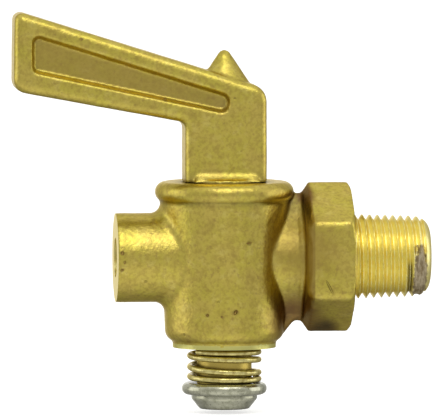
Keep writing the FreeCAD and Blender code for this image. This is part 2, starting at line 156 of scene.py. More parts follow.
# Painted shade on the body, in millimetres: place across from the plug axis, height and reach of each spot
BROWN_SHADE_SPOTS = ((8.4, -7.6, 4.6), (11.9, -9.5, 2.9), (9.6, 7.6, 1.6))
DARK_SHADE_SPOTS = ((12.0, -9.1, 2.4),)
DULL_SHADE_SPOTS = ((9.2, 1.5, 5.5),)
# Painted shade: a dark line under the bead, and the hexagon's sloped side
BEAD_SHADE_HEIGHTS = (6.1, 6.95, 6.95, 7.15)      # under the bead: from its foot to its top
BEAD_SHADE_RADII = (8.5, 8.2)                     # on the barrel only
SLOPE_START = -5.9                          # sloped side of the hexagon
SLOPE_PLACES = (SLOPE_START, -5.7, -5.05, -4.85)
FOOT_RADII = (4.9, 5.1)                     # under the body: foot ring from here outwards
STEM_RADII = (5.1, 4.9)                     # and stem from here inwards
PIT_CORE = 0.35                             # share of a pit's reach that is full
SPOT_CORE = 0.3

# Rough surface of the castings
VOXEL = 0.19 * MM
SOFTENING = 2                      # smoothing passes after the remesh
SWELL = 0.05 * MM                  # slow unevenness
SWELL_SIZE = 2.6 * MM
RIPPLE = 0.025 * MM
RIPPLE_SIZE = 0.8 * MM
QUIET_TO = 0.1 * MM                # lever's casting is even up to here above the body
ROUGH_FROM = 0.4 * MM

# Limits on the bench
MERGE = 0.001 * MM                 # points closer than this become one
CLOSE = 0.01 * MM                  # faces this close to a surface lie on it
NEARLY = 0.02 * MM                 # the same where facets lie a little off it
SQUARE = 0.9                       # faces look along an axis when their normal has this share of it
OUTWARD = 0.01                     # and a little that way with this share
BAR_SIDES = 96
UPRIGHT_SIDES = 128
CAST_CREASE = 38                   # degrees between faces that still shade as one
WIRE_CREASE = 50

# Camera, as the photograph was taken
VIEW_TURN = -4.8                   # degrees, towards the spout
VIEW_RISE = 3.3
VIEW_DISTANCE = 1.1
VIEW_END = 100
SENSOR = 36.0
FRAME_WIDTH = 53.1 * MM            # seen at the plug axis
AIM = Vector((plug_x - 0.58 * MM, 0, 6.01 * MM))

# Stage
FLOOR_SIZE = 6.0
FLOOR_GAP = 0.5 * MM
FLOOR_GLOW = 0.62
ROOM_LIGHT = 0.545
ABOVE = 0.30                       # light added from above
BAND = 0.30                        # light added from a band high up
TABLE = 1.15                       # light added from the table in front
BACKDROP = 1.10                    # light added straight behind
SHADOW = 1.0                       # light lost low down behind the part
WING = 0.25                        # light lost on the right behind the part
SIDE = 0.10                        # light lost on the right in front of it
BAND_HEIGHTS = (0.66, 0.80, 0.90, 0.98)
LEVEL_HEIGHTS = (-0.5, -0.2, 0.3, 0.6)
BACKDROP_DEPTHS = (0.90, 0.97)
WING_DEPTHS = (0.15, 0.45)
WING_ACROSS = (0.2, 0.5)
SIDE_DEPTHS = (0.3, -0.1)
SIDE_ACROSS = (0.35, 0.85)
LAMP_DISTANCE = 0.9

# Soft boxes: turn and rise of their direction, how wide and high they look, in degrees, and brightness
LAMPS = (
    ("key", -4, 50, 20, 40, 2.1),
    ("second_key", 38, 50, 15, 18, 2.2),
    ("left_panel", -98, 8, 40, 40, 0.7),
    ("right_panel", 92, 8, 40, 40, 0.8))


# Shader maths

class Signal:
    """One socket of a board; arithmetic on it adds Math nodes."""

    def __init__(self, board, socket):
        self.board = board
        self.socket = socket

    def maths(self, operation, *values):
        """One Math node on this signal's board."""
        return self.board.node("Math", {"operation": operation}, dict(enumerate(values)))

    def __add__(self, other):
        return self.maths("ADD", self, other)

    def __radd__(self, other):
        return self.maths("ADD", other, self)

    def __sub__(self, other):
        return self.maths("SUBTRACT", self, other)

    def __rsub__(self, other):
        return self.maths("SUBTRACT", other, self)

    def __mul__(self, other):
        return self.maths("MULTIPLY", self, other)

    def __rmul__(self, other):
        return self.maths("MULTIPLY", other, self)

    def __truediv__(self, other):
        return self.maths("DIVIDE", self, other)

    def __rtruediv__(self, other):
        return self.maths("DIVIDE", other, self)

    def __pow__(self, other):
        return self.maths("POWER", self, other)

    def __rpow__(self, other):
        return self.maths("POWER", other, self)

    def __lt__(self, other):
        return self.maths("LESS_THAN", self, other)

    def __gt__(self, other):
        return self.maths("GREATER_THAN", self, other)

    def at_least(self, least):
        """This signal, but never below a value."""
        return self.maths("MAXIMUM", self, least)


class Board:
    """A node tree that is filled one node at a time."""

    def __init__(self, tree):
        self.tree = tree

    def node(self, kind, settings=None, sockets=None, out=0):
        """Any node: its type, its settings, what its sockets take, and the output wanted."""
        made = self.tree.nodes.new("ShaderNode" + kind)
        for key, value in (settings or {}).items():
            setattr(made, key, value)
        for key, value in (sockets or {}).items():
            self.feed(made.inputs[key], value)
        return Signal(self, made.outputs[out])

    def feed(self, socket, value):
        """Links a signal to a socket, or sets the socket's own value."""
        if isinstance(value, Signal):
            self.tree.links.new(value.socket, socket)
        else:
            socket.default_value = value

    def step(self, value, low, high):
        """Smooth step from 0 at low to 1 at high, which may lie below it."""
        return self.node("MapRange", {"interpolation_type": "SMOOTHSTEP"}, {
            "Value": value, "From Min": low, "From Max": high, "To Min": 0.0, "To Max": 1.0})

    def between(self, value, start, full, fade, end):
        """Smooth steps up from 0 at start to 1 at full, and down from fade to end."""
        return self.step(value, start, full) * self.step(value, end, fade)

    def parts(self, vector):
        """The three values of a vector."""
        split = self.node("SeparateXYZ", sockets={"Vector": vector}).socket.node
        return [Signal(self, split.outputs[axis]) for axis in "XYZ"]


class Finish(Board):
    """A material; places inside it are in millimetres."""

    def __init__(self, name):
        self.material = bpy.data.materials.new(name)
        self.material.use_nodes = True
        super().__init__(self.material.node_tree)
        self.tree.nodes.clear()
        self.shader = self.tree.nodes.new("ShaderNodeBsdfPrincipled")
        output = self.tree.nodes.new("ShaderNodeOutputMaterial")
        self.tree.links.new(self.shader.outputs["BSDF"], output.inputs["Surface"])
        self.place = self.node("VectorMath", {"operation": "SCALE"}, {
            "Vector": self.node("TexCoord", out="Object"), "Scale": 1 / MM})

    def noise(self, size, detail=3.0, rough=0.5, place=None):
        """Soft noise between 0 and 1 with features of about a size in millimetres."""
        return self.node("TexNoise", {"noise_dimensions": "3D"}, {
            "Vector": place or self.place, "Scale": 1 / size, "Detail": detail,
            "Roughness": rough}, out="Fac")

    def stretched(self, across, along, up):
        """The place, drawn out along the axes by the given amounts."""
        return self.node("Mapping", {"vector_type": "POINT"}, {
            "Vector": self.place, "Scale": (1 / across, 1 / along, 1 / up)})

    def leaning(self, degrees, across, along):
        """The place, drawn out along a line that leans over in the XZ plane."""
        return self.node("Mapping", {"vector_type": "TEXTURE"}, {
            "Vector": self.place, "Rotation": (0.0, math.radians(degrees), 0.0),
            "Scale": (across, along, along)})

    def plug_radius(self):
        """Distance from the plug axis."""
        x, y, z = self.parts(self.place)
        aside = x - plug_x / MM
        return (aside * aside + y * y) ** 0.5

    def mix(self, share, first, second):
        """Colour between two colours."""
        return self.node("Mix", {"data_type": "RGBA"}, {0: share, 6: first, 7: second}, out=2)

    def bump(self, height):
        """Normal from a height in millimetres."""
        return self.node("Bump", sockets={
            "Height": height, "Distance": MM, "Strength": 1.0}, out="Normal")

    def pits(self, size, share, reach):
        """Scattered round pits: spacing, share of cells that hold one, and radius in cells."""
        cells = {"voronoi_dimensions": "3D", "feature": "F1"}
        sockets = {"Vector": self.place, "Scale": 1 / size, "Randomness": 1.0}
        cell = self.node("TexVoronoi", cells, sockets, out="Distance")
        lot = self.parts(Signal(self, cell.socket.node.outputs["Color"]))[0]
        return (1 - self.step(cell, reach * PIT_CORE, reach)) * (lot < share)

    def spots(self, places):
        """Soft round spots seen from the front: place across from the plug axis, height and reach."""
        x, y, z = self.parts(self.place)
        clear = 1.0
        for across, height, reach in places:
            aside = x - (plug_x / MM + across)
            above = z - height
            distance = (aside * aside + above * above) ** 0.5
            clear = clear * self.step(distance, reach * SPOT_CORE, reach)
        return 1 - clear

    def shelter(self, reach):
        """How closed in a place is by what lies within a reach in millimetres, 0 to 1."""
        return 1 - self.node("AmbientOcclusion", {"samples": 8}, {"Distance": reach * MM}, out="AO")

    def shade(self, **sockets):
        """Sets the shader's own sockets; underscores stand for spaces."""
        for key, value in sockets.items():
            self.feed(self.shader.inputs[key.replace("_", " ")], value)
        return self.material


def tint(red, green, blue):
    """Colour as seen on a screen, 0 to 255, as the shader's linear value."""
    def linear(value):
        share = value / 255
        return share / 12.92 if share < 0.04045 else ((share + 0.055) / 1.055) ** 2.4
    return (linear(red), linear(green), linear(blue), 1.0)


CAST_TAN = tint(212, 190, 90)
CAST_OLIVE = tint(210, 194, 80)
CAST_BRIGHT = tint(236, 218, 124)
CAST_DULL = tint(168, 142, 66)
CAST_BROWN = tint(154, 120, 72)
# Painted shade colours for hollows, low spots and crevices; the dark one also serves for grime
HOLLOW_SHADE_BROWN = tint(112, 95, 72)
STAIN_SHADE_BROWN = tint(132, 98, 46)
GRIME_AND_SHADE_DARK = tint(70, 58, 36)
PIT_BROWN = tint(110, 90, 42)
SCALE_BROWN = tint(172, 148, 76)
EDGE_GOLD = tint(240, 226, 180)
TURNED_YELLOW = tint(255, 244, 168)
TURNED_GOLD = tint(254, 235, 138)
# Stem colour, painted darker as shade
STEM_SHADE_GOLD = tint(224, 198, 96)
FOOT_PALE = tint(210, 206, 118)
SMEAR_GREY = tint(188, 172, 146)
SMEAR_BROWN = tint(120, 98, 74)
WIRE_PALE = tint(232, 219, 142)
WIRE_DULL = tint(190, 172, 100)
ZINC_PALE = tint(204, 203, 178)
ZINC_DULL = tint(170, 170, 144)
# Scratches, and painted shade on the plate's closed-in edges
ZINC_SCRATCH_AND_SHADE = tint(84, 80, 62)
FLOOR_PALE = (0.8, 0.8, 0.8, 1.0)
WHITE = (1.0, 1.0, 1.0, 1.0)


# Finishes

def body_shade(finish, colour, blotch, patch):
    """Painted shade low on the neck and the hexagon, on the hexagon's slope, and as a dark line under the bead."""
    x, y, z = finish.parts(finish.place)
    low_shade = finish.spots(BROWN_SHADE_SPOTS) * (0.5 + blotch)
    slope = finish.between(x, *SLOPE_PLACES)
    dark_shade = finish.spots(DARK_SHADE_SPOTS) * (0.25 + patch)
    bead_shade = finish.between(z, *BEAD_SHADE_HEIGHTS) * finish.step(finish.plug_radius(), *BEAD_SHADE_RADII)
    # Painted shade spots low on the neck and hexagon, and on the hexagon's slope
    colour = finish.mix(low_shade, colour, STAIN_SHADE_BROWN)
    colour = finish.mix(slope * 0.6, colour, STAIN_SHADE_BROWN)
    colour = finish.mix(dark_shade, colour, GRIME_AND_SHADE_DARK)
    # Painted shade: dark line under the bead
    return finish.mix(bead_shade * (0.15 + blotch * 0.5), colour, GRIME_AND_SHADE_DARK)


def tumbled_brass(name, scars, on_body=False, recess_shade=0.0, grime_and_shade=1.0):
    """Tumbled casting: olive gold, mottled and pitted, with painted shade in its hollows and crevices, and painted
    shade spots on the body.
    """
    finish = Finish(name)
    y = finish.parts(finish.place)[1]
    blotch = finish.noise(3.2, 5.0, 0.6)
    patch = finish.noise(1.3, 4.0, 0.6)
    grain = finish.noise(0.45, 3.0, 0.6)
    fleck = finish.noise(0.7, 3.0, 0.55)
    streak = finish.noise(1.0, 3.0, 0.55, finish.leaning(35, 0.35, 1.6))
    hollow_shade = finish.step(finish.shelter(2.6), 0.10, 0.60)
    crevice_shade = finish.step(finish.shelter(0.7), 0.12, 0.42)
    pit = finish.pits(2.1, 0.22, 0.13)
    marks = [(across, up, (length + width) / 2) for across, up, length, width, depth, lean in scars]
    flaw = finish.spots(marks) * (y < 0.0)
    colour = finish.mix(finish.step(blotch, 0.34, 0.66), CAST_TAN, CAST_OLIVE)
    colour = finish.mix(finish.step(patch, 0.52, 0.70) * 0.35, colour, CAST_BRIGHT)
    colour = finish.mix(finish.step(patch, 0.48, 0.30) * 0.40, colour, CAST_DULL)
    colour = finish.mix(finish.step(grain, 0.42, 0.66) * 0.42, colour, CAST_DULL)
    colour = finish.mix(finish.step(fleck, 0.60, 0.72) * 0.38, colour, CAST_BROWN)
    # Painted shade where asked for: duller colour on the sunk panel's floor
    colour = finish.mix(recess_shade, colour, CAST_DULL)
    if on_body:
        colour = body_shade(finish, colour, blotch, patch)
    # Painted shade: brown where the casting is closed in, darker in its crevices
    colour = finish.mix(hollow_shade * (0.65 * grime_and_shade), colour, HOLLOW_SHADE_BROWN)
    colour = finish.mix(crevice_shade * (0.45 * grime_and_shade), colour, GRIME_AND_SHADE_DARK)
    colour = finish.mix(pit * 0.45, colour, PIT_BROWN)
    colour = finish.mix(flaw * 0.6, colour, PIT_BROWN)
    rough = 0.25 + grain * 0.14 + hollow_shade * 0.12
    if on_body:
        # Painted shade: duller, darker colour on the neck's lens, which is also rougher
        lens_shade = finish.spots(DULL_SHADE_SPOTS)
        colour = finish.mix(lens_shade * 0.6, colour, CAST_DULL)
        rough = rough + lens_shade * 0.12
    height = grain * 0.035 + patch * 0.05 + blotch * 0.05 + streak * 0.03 - pit * 0.04
    return finish.shade(
        Base_Color=colour, Metallic=1.0, Roughness=rough, Normal=finish.bump(height),
        Coat_Weight=0.28, Coat_Roughness=0.3, Specular_Tint=EDGE_GOLD)


def scaled_brass():
    """Dull brown scale left in casting flaws."""
    finish = Finish("scaled_brass")
    grain = finish.noise(0.3, 3.0, 0.6)
    colour = finish.mix(finish.step(grain, 0.35, 0.7), SCALE_BROWN, CAST_BROWN)
    rough = 0.4 + grain * 0.2
    return finish.shade(
        Base_Color=colour, Metallic=1.0, Roughness=rough, Normal=finish.bump(grain * 0.05),
        Specular_Tint=EDGE_GOLD)


def smear_distance(finish):
    """How far out a place is from the middle of the smear, 1 at its border, ragged."""
    x, y, z = finish.parts(finish.place)
    turn = z.maths("ARCTAN2", z, 0 - y) * (180 / math.pi)
    across = (x - SMEAR_X / MM) / (SMEAR_HALF_LENGTH / MM)
    around = (turn - SMEAR_TURN) / SMEAR_HALF_TURN
    ragged = finish.noise(0.6, 3.0, 0.6) * 0.8
    return (across * across + around * around) ** 0.5 + ragged - 0.4


def turned_brass():
    """Lathe-cut brass: yellow thread and mouth, paler foot, stem painted darker as shade, smeared at the thread's
    end; painted shade where foot and stem are closed in, and in the roots by the smear.
    """
    finish = Finish("turned_brass")
    z = finish.parts(finish.place)[2]
    grain = finish.noise(0.5, 4.0, 0.6)
    streak = finish.noise(1.0, 2.0, 0.5, finish.stretched(0.12, 1.2, 1.2))
    dirt = finish.noise(1.0, 3.0, 0.6, finish.stretched(0.3, 1.0, 1.0))
    closed = finish.shelter(0.9)
    radius = finish.plug_radius()
    under_body = finish.step(z, barrel_foot_z / MM + 0.3, barrel_foot_z / MM)
    foot = under_body * finish.step(radius, *FOOT_RADII)
    stem = under_body * finish.step(radius, *STEM_RADII)
    distance = smear_distance(finish)
    smear = 1 - finish.step(distance, 0.75, 1.0)
    # Painted shade, with some grime, in the thread's closed-in roots round the smear
    dark_shade = finish.step(closed, 0.25, 0.6) * finish.step(distance, 2.1, 1.2)
    dark_shade = dark_shade * finish.step(z, 0.3, -1.4)
    grime_and_shade = finish.mix(finish.step(dirt, 0.35, 0.65), SMEAR_GREY, SMEAR_BROWN)
    colour = finish.mix(finish.step(grain, 0.4, 0.75), TURNED_YELLOW, TURNED_GOLD)
    colour = finish.mix(foot * 0.85, colour, FOOT_PALE)
    # Painted shade: stem darker under body and spring, darkest where closed in; foot darker where closed in
    colour = finish.mix(stem, colour, STEM_SHADE_GOLD)
    colour = finish.mix(stem * finish.step(closed, 0.05, 0.5) * 0.5, colour, GRIME_AND_SHADE_DARK)
    colour = finish.mix(foot * finish.step(closed, 0.10, 0.6) * 0.7, colour, HOLLOW_SHADE_BROWN)
    colour = finish.mix(dark_shade * 0.85, colour, GRIME_AND_SHADE_DARK)
    colour = finish.mix(smear * 0.9, colour, grime_and_shade)
    rough = 0.28 + grain * 0.12 + smear * 0.2
    height = streak * 0.006 + grain * 0.008 + smear * dirt * 0.12
    return finish.shade(
        Base_Color=colour, Metallic=1.0, Roughness=rough, Normal=finish.bump(height),
        Coat_Weight=0.25, Coat_Roughness=0.3, Specular_Tint=EDGE_GOLD)


def drawn_wire():
    """Olive spring wire, with painted shade where its turns lie close."""
    finish = Finish("drawn_wire")
    grain = finish.noise(0.6, 4.0, 0.6)
    hollow_shade = finish.step(finish.shelter(1.3), 0.15, 0.60)
    colour = finish.mix(finish.step(grain, 0.4, 0.7), WIRE_PALE, WIRE_DULL)
    # Painted shade where the turns lie close
    colour = finish.mix(hollow_shade * 0.68, colour, GRIME_AND_SHADE_DARK)
    rough = 0.16 + grain * 0.14
    return finish.shade(
        Base_Color=colour, Metallic=1.0, Roughness=rough, Normal=finish.bump(grain * 0.02),
        Coat_Weight=0.4, Coat_Roughness=0.15, Specular_Tint=EDGE_GOLD)


def zinc_plate():
    """Dull grey plate with a green cast, painted shade on its closed-in edges, and small dark scratches."""
    finish = Finish("zinc_plate")
    grain = finish.noise(0.7, 4.0, 0.6)
    scratch = finish.noise(1.0, 2.0, 0.5, finish.stretched(0.5, 0.5, 0.18))
    mark = finish.step(scratch, 0.66, 0.74)
    hollow_shade = finish.step(finish.shelter(1.2), 0.15, 0.7)
    colour = finish.mix(finish.step(grain, 0.4, 0.7), ZINC_PALE, ZINC_DULL)
    colour = finish.mix(mark * 0.6, colour, ZINC_SCRATCH_AND_SHADE)
    # Painted shade where the plate is closed in
    colour = finish.mix(hollow_shade * 0.7, colour, ZINC_SCRATCH_AND_SHADE)
    rough = 0.16 + grain * 0.12
    height = grain * 0.015 - mark * 0.03
    return finish.shade(
        Base_Color=colour, Metallic=1.0, Roughness=rough, Normal=finish.bump(height))


def pale_floor():
    """Matt white that glows a little, so that it stays as pale as the background."""
    finish = Finish("pale_floor")
    return finish.shade(
        Base_Color=FLOOR_PALE, Roughness=0.9, Emission_Color=WHITE, Emission_Strength=FLOOR_GLOW)


# Bench work

def only(work):
    """Selects one object and nothing else."""
    for other in bpy.context.selected_objects:
        other.select_set(False)
    work.select_set(True)
    bpy.context.view_layer.objects.active = work


def linked(name, data):
    """New object in the scene."""
    made = bpy.data.objects.new(name, data)
    bpy.context.scene.collection.objects.link(made)
    return made


def edit_all(work):
    """Turns edit mode on with everything selected."""
    only(work)
    bpy.ops.object.mode_set(mode="EDIT")
    bpy.ops.mesh.select_mode(type="VERT")
    bpy.ops.mesh.select_all(action="SELECT")


def edit_faces(work, test):
    """Turns edit mode on with the faces selected whose centre and normal pass a test."""
    edit_all(work)
    bpy.ops.mesh.select_mode(type="FACE")
    bpy.ops.mesh.select_all(action="DESELECT")
    end_edit()
    for face in work.data.polygons:
        face.select = test(face.center, face.normal)
    bpy.ops.object.mode_set(mode="EDIT")


def end_edit():
    """Turns edit mode off."""
    bpy.ops.object.mode_set(mode="OBJECT")


def merge(work):
    """Makes one point of points that lie together."""
    edit_all(work)
    bpy.ops.mesh.remove_doubles(threshold=MERGE)
    end_edit()


def close_holes(work):
    """Fills every hole and turns the faces outwards."""
    edit_all(work)
    bpy.ops.mesh.fill_holes(sides=0)
    bpy.ops.mesh.select_all(action="SELECT")
    bpy.ops.mesh.normals_make_consistent(inside=False)
    end_edit()


def settle(work):
    """Puts an object's place into its mesh."""
    only(work)
    bpy.ops.object.transform_apply(location=True, rotation=True, scale=True)
    return work


def bench_copy(node, name):
    """Merged copy of a node's mesh as a new object."""
    work = linked(name, frame["nodes"][node].data.copy())
    only(work)
    bpy.ops.mesh.customdata_custom_splitnormals_clear()
    merge(work)
    return work


def bar(radius, start, end):
    """Round bar along X."""
    bpy.ops.mesh.primitive_cylinder_add(
        vertices=BAR_SIDES, radius=radius, depth=end - start,
        location=((start + end) / 2, 0, 0), rotation=(0, math.pi / 2, 0))
    return settle(bpy.context.object)


def upright(low_r, high_r, low, high):
    """Round cone or cylinder on the plug axis."""
    bpy.ops.mesh.primitive_cone_add(
        vertices=UPRIGHT_SIDES, radius1=low_r, radius2=high_r, depth=high - low,
        location=(plug_x, 0, (low + high) / 2))
    return settle(bpy.context.object)


def block(length, near, far, low, high):
    """Box on the plug axis: its length, its sides along Y, its bottom and its top."""
    bpy.ops.mesh.primitive_cube_add(
        size=1, location=(plug_x, (near + far) / 2, (low + high) / 2),
        scale=(length, far - near, high - low))
    return settle(bpy.context.object)


def rolled(stations, sides, place):
    """Closed tube: a grid whose points go to place(share of the length, angle round it)."""
    bpy.ops.mesh.primitive_grid_add(x_subdivisions=stations, y_subdivisions=sides, size=1)
    work = bpy.context.object
    for vertex in work.data.vertices:
        vertex.co = place(vertex.co.x + 0.5, (vertex.co.y + 0.5) * 2 * math.pi)
    merge(work)
    close_holes(work)
    return work


def finish_with(work, kind, **settings):
    """Adds a modifier and applies it."""
    only(work)
    modifier = work.modifiers.new(kind.lower(), kind)
    for key, value in settings.items():
        setattr(modifier, key, value)
    bpy.ops.object.modifier_apply(modifier=modifier.name)


def machine(work, tool, operation):
    """Joins a tool's shape to the work or cuts it away, and puts the tool away."""
    finish_with(work, "BOOLEAN", object=tool, operation=operation, solver="MANIFOLD")
    bpy.data.objects.remove(tool)


def remesh(work):
    """Gives a casting an even mesh."""
    finish_with(work, "REMESH", mode="VOXEL", voxel_size=VOXEL, use_smooth_shade=True)


def soften(work, passes, group=""):
    """Takes the sharpness off a casting, all over or where a group says."""
    finish_with(work, "SMOOTH", factor=0.5, iterations=passes, vertex_group=group)


def soften_where(work, name, share, passes):
    """Takes the sharpness off each point by the share that it is given, 0 to 1."""
    group = work.vertex_groups.new(name=name)
    for vertex in work.data.vertices:
        group.add([vertex.index], share(vertex.co), "REPLACE")
    soften(work, passes, name)


def clouds(name, size):
    """Soft texture with features of a size in metres."""
    texture = bpy.data.textures.new(name, "CLOUDS")
    texture.noise_scale = size
    texture.noise_depth = 1
    return texture


def uneven(work, group=""):
    """Gives a casting slow swells and small ripples, all over or where a group says."""
    for name, size, height in (("swell", SWELL_SIZE, SWELL), ("ripple", RIPPLE_SIZE, RIPPLE)):
        finish_with(
            work, "DISPLACE", texture=clouds(name, size), texture_coords="LOCAL",
            direction="NORMAL", mid_level=0.5, strength=height, vertex_group=group)


def scar_tool(work, across, height, length, width, depth, lean):
    """Ellipsoid on the front of a casting, where a line of sight along Y meets it."""
    start = Vector((plug_x + across * MM, -1, height * MM))
    found, place, normal, face = work.ray_cast(start, Vector((0, 1, 0)))
    lengthwise = Vector((math.cos(math.radians(lean)), 0, math.sin(math.radians(lean))))
    sideways = normal.cross(lengthwise).normalized()
    lengthwise = sideways.cross(normal)
    bpy.ops.mesh.primitive_ico_sphere_add(subdivisions=3, radius=1)
    tool = bpy.context.object
    axes = (lengthwise * (length / 2 * MM), sideways * (width / 2 * MM), normal * (depth * MM))
    tool.matrix_world = Matrix.Translation(place) @ Matrix(axes).transposed().to_4x4()
    bpy.context.view_layer.update()
    return tool


def scar(work, scars):
    """Cuts casting flaws into the front and returns what takes a point into each one's unit ball."""
    tools = [scar_tool(work, *flaw) for flaw in scars]
    hollows = [tool.matrix_world.inverted() for tool in tools]
    for tool in tools:
        settle(tool)
    only(tools[0])
    for tool in tools:
        tool.select_set(True)
    bpy.ops.object.join()
    machine(work, tools[0], "DIFFERENCE")
    return hollows


def in_scar(point, hollows):
    """Whether a point lies on the skin of a flaw."""
    return any((hollow_shade @ point).length < SCAR_SLACK for hollow_shade in hollows)


def from_axis(point):
    """Distance from the plug axis."""
    return math.hypot(point.x - plug_x, point.y)


def from_flow(point):
    """Distance from the waterway's axis."""
    return math.hypot(point.y, point.z)


def seat_r(z):
    """Radius of the tapered seat at a height."""
    return SEAT_TOP_R - (body_top_z - z) * SEAT_SLOPE


def smooth_share(value, low, high):
    """Smooth step from 0 at low to 1 at high."""
    share = min(max((value - low) / (high - low), 0), 1)
    return share * share * (3 - 2 * share)


# Pipe thread

def smeared(x, angle):
    """Share of the thread that is smeared over, 0 to 1."""
    turn = math.degrees(math.pi - angle) % 360
    turn = turn - 360 if turn > 180 else turn
    across = (x - SMEAR_X) / SMEAR_HALF_LENGTH
    around = (turn - SMEAR_TURN) / SMEAR_HALF_TURN
    return 1 - smooth_share(math.hypot(across, around), SMEAR_FULL, 1.0)


def thread_radius(x, angle):
    """Radius of the threaded pipe end; the angle is round +X from +Y towards +Z."""
    crest = crest_r - x * TAPER
    turn = (x / PITCH - angle / (2 * math.pi) + THREAD_PHASE) % 1
    from_crest = 2 * min(turn, 1 - turn)
    flank = min(max((from_crest - CREST_FLAT) / (1 - CREST_FLAT - ROOT_FLAT), 0), 1)
    depth = THREAD_DEPTH * flank * smooth_share(x, 0, RUNOUT)
    depth += (SMEAR_SUNK - depth) * smeared(x, angle)
    past = max(x - pipe_end_x + END_ROUND, 0)
    rounding = math.sqrt(END_ROUND ** 2 - min(past, END_ROUND) ** 2)
    lead = crest_r - pipe_end_x * TAPER - END_ROUND + rounding
    return min(crest - depth, lead) if past else crest - depth


def thread_solid():
    """Tapered thread, sunk a little into the hexagon."""
    length = pipe_end_x + THREAD_SUNK

    def place(along, angle):
        x = along * length - THREAD_SUNK
        radius = thread_radius(x, angle)
        return (x, radius * math.cos(angle), radius * math.sin(angle))

    return rolled(THREAD_STATIONS, THREAD_SIDES, place)


# Body

def machined_later(centre, normal):
    """Faces of the waterway, the seat and the plain pipe end."""
    in_bore = from_flow(centre) < bore_r + NEARLY
    in_seat = from_axis(centre) < seat_r(centre.z) + NEARLY
    return in_bore or in_seat or centre.x > MERGE


def on_mouth(centre, normal):
    """Mouth of the spout, with its broken edge."""
    return centre.x < mouth_x + MOUTH_EDGE and normal.x < -OUTWARD


def on_hexagon_edge(point):
    """1 on the front and back edges of the hexagon, else 0."""
    along = SLOPE_START * MM < point.x < 0
    outside = from_flow(point) > HEXAGON_FLAT_R + HEXAGON_EDGE_FROM
    return 1.0 if along and outside and abs(point.y) > HEXAGON_MIDDLE else 0.0


def make_body():
    """Rough casting, then its facing, foot, thread, waterway and seat; also gives its flaws."""
    work = bench_copy("body", "valve_body")
    edit_faces(work, machined_later)
    bpy.ops.mesh.delete(type="FACE")
    end_edit()
    close_holes(work)
    edit_faces(work, on_mouth)
    bpy.ops.transform.translate(value=(-FACING, 0, 0))
    end_edit()
    remesh(work)
    soften(work, SOFTENING)
    soften_where(work, "hexagon_edges", on_hexagon_edge, HEXAGON_EASE)
    uneven(work)
    bpy.ops.mesh.primitive_cube_add(
        size=FACING_CUTTER, location=(mouth_x - FACING_CUTTER / 2, 0, 0))
    machine(work, settle(bpy.context.object), "DIFFERENCE")
    foot = upright(FOOT_R, FOOT_R, body_bottom_z, body_bottom_z + FOOT_SUNK)
    machine(work, foot, "UNION")
    machine(work, thread_solid(), "UNION")
    machine(work, bar(bore_r, mouth_x - CUT_PAST, pipe_end_x + CUT_PAST), "DIFFERENCE")
    low = body_bottom_z - CUT_PAST
    high = body_top_z + CUT_PAST
    machine(work, upright(seat_r(low), seat_r(high), low, high), "DIFFERENCE")
    scar(work, GOUGES)
    return work, scar(work, BODY_SCARS)


# Plug and lever

def turned_plug():
    """Tapered plug and stem by spinning half their section."""
    top = body_top_z - CAST_FROM + PLUG_LAP
    foot = body_bottom_z + PLUG_BOTTOM
    end = body_bottom_z - STEM_END
    stem_r = seat_r(body_bottom_z) - STEM_STEP
    corners = [
        (0, end), (stem_r, end), (stem_r, foot),
        (seat_r(foot) - PLUG_CLEARANCE, foot), (seat_r(top) - PLUG_CLEARANCE, top), (0, top)]
    mesh = bpy.data.meshes.new("turned_plug")
    points = [(plug_x + radius, 0, z) for radius, z in corners]
    mesh.from_pydata(points, [(i, i + 1) for i in range(len(points) - 1)], [])
    work = linked("turned_plug", mesh)
    edit_all(work)
    bpy.ops.mesh.spin(
        steps=PLUG_SIDES, angle=2 * math.pi, center=(plug_x, 0, 0), axis=(0, 0, 1))
    bpy.ops.mesh.select_all(action="SELECT")
    bpy.ops.mesh.remove_doubles(threshold=MERGE)
    bpy.ops.mesh.normals_make_consistent(inside=False)
    end_edit()
    reach = 2 * SEAT_TOP_R
    machine(work, bar(bore_r, plug_x - reach, plug_x + reach), "DIFFERENCE")
    hole = upright(SCREW_HOLE_R, SCREW_HOLE_R, end - CUT_PAST, end + SCREW_HOLE_DEPTH)
    machine(work, hole, "DIFFERENCE")
    return work


def add_ledge(work, low):
    """Cuts the collar's cove away, front and back, and lays a ledge round the foot of the post."""
    for near, far in ((-LEDGE_WIDTH, -POST_HALF_WIDTH), (POST_HALF_WIDTH, LEDGE_WIDTH)):
        cove = block(LEDGE_LENGTH, near, far, body_top_z + COVE_FROM, body_top_z + COVE_TO)
        machine(work, cove, "DIFFERENCE")
    ledge = block(LEDGE_LENGTH, -LEDGE_WIDTH / 2, LEDGE_WIDTH / 2, low, body_top_z + LEDGE_RISE)
    edit_faces(ledge, lambda centre, normal: normal.z > SQUARE)
    bpy.ops.transform.resize(value=(LEDGE_TOP, LEDGE_TOP, 1))
    end_edit()
    machine(work, ledge, "UNION")


def above_body(point):
    """Share of a casting's unevenness, from none at the body's top."""
    return smooth_share(point.z, body_top_z + QUIET_TO, body_top_z + ROUGH_FROM)


def on_ledge(point):
    """The same share on the ledge and close round it, else 0."""
    beside = abs(point.x - plug_x) < LEDGE_LENGTH / 2 + LEDGE_PAST
    outside = abs(point.y) > POST_HALF_WIDTH - LEDGE_INTO_POST
    below_top = point.z < body_top_z + LEDGE_RISE + LEDGE_OVER
    return above_body(point) if beside and outside and below_top else 0.0


